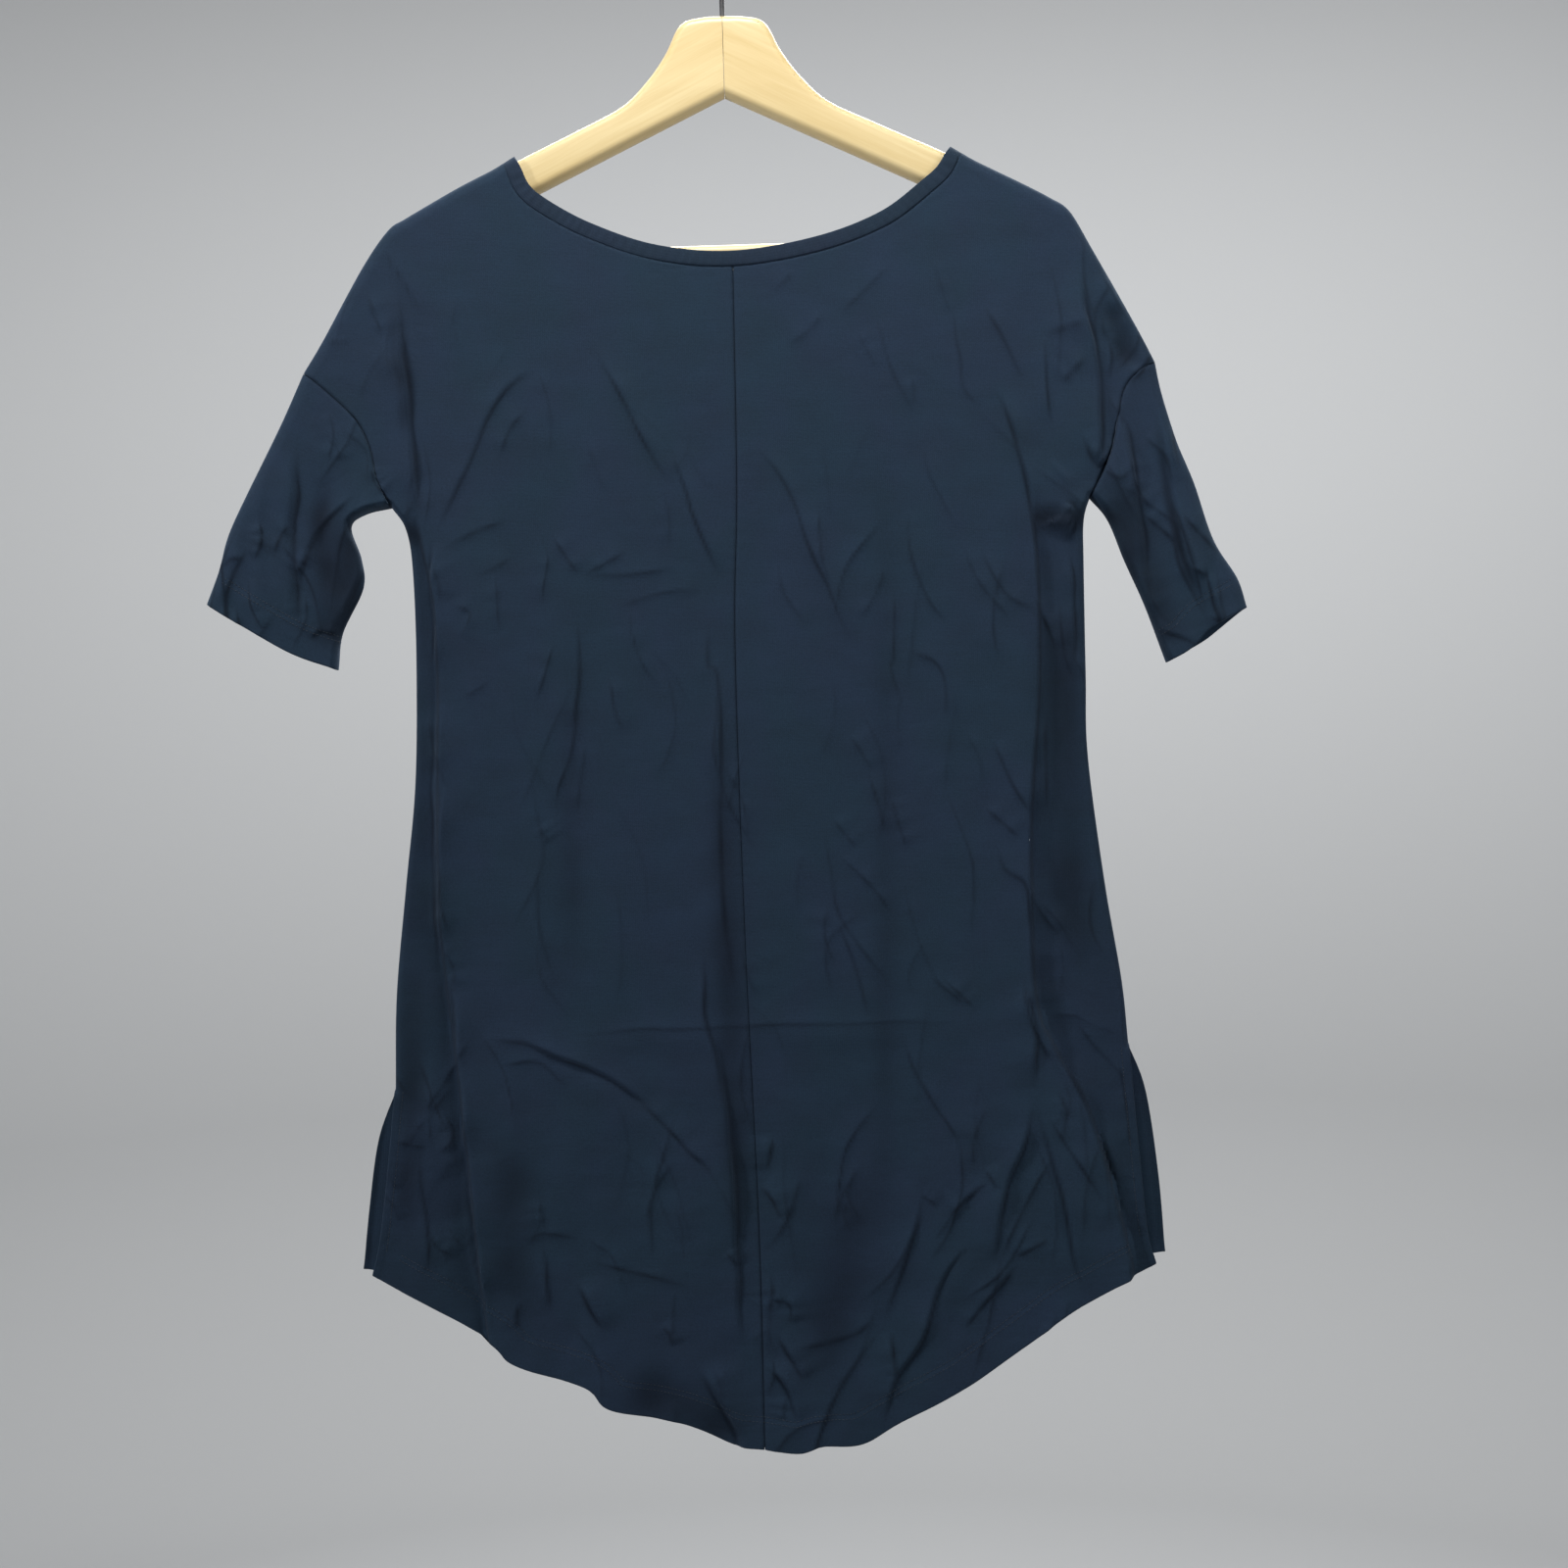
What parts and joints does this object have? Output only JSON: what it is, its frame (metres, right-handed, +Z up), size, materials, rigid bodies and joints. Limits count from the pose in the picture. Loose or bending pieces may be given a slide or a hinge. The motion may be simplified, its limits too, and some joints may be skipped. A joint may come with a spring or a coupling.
{
  "type": "round neck blouse on a wooden hanger",
  "caption": "Short-sleeved round neck blouse of navy jersey with a curved drop tail and side slits, hung on a wooden hanger with a steel hook",
  "frame": {"origin": "the top of the inside of the hook, where it rests on a rail", "axes": "+Z up along the hook's shank, X along the hanger's arms, the garment's back faces -Y and its front +Y"},
  "size_m": [0.6621, 0.0303, 0.9883],
  "materials": {
    "jersey": "matte navy jersey",
    "wood": "pale wood, satin lacquer",
    "steel": "bright steel wire"
  },
  "bodies": {
    "root": {"back_left": "jersey", "back_right": "jersey", "front": "jersey", "sleeve_left": "jersey", "sleeve_right": "jersey", "neck_band": "jersey", "hanger_arm_left": "wood", "hanger_arm_right": "wood", "hanger_bar": "wood", "hanger_hook": "steel"}
  },
  "joints": []
}
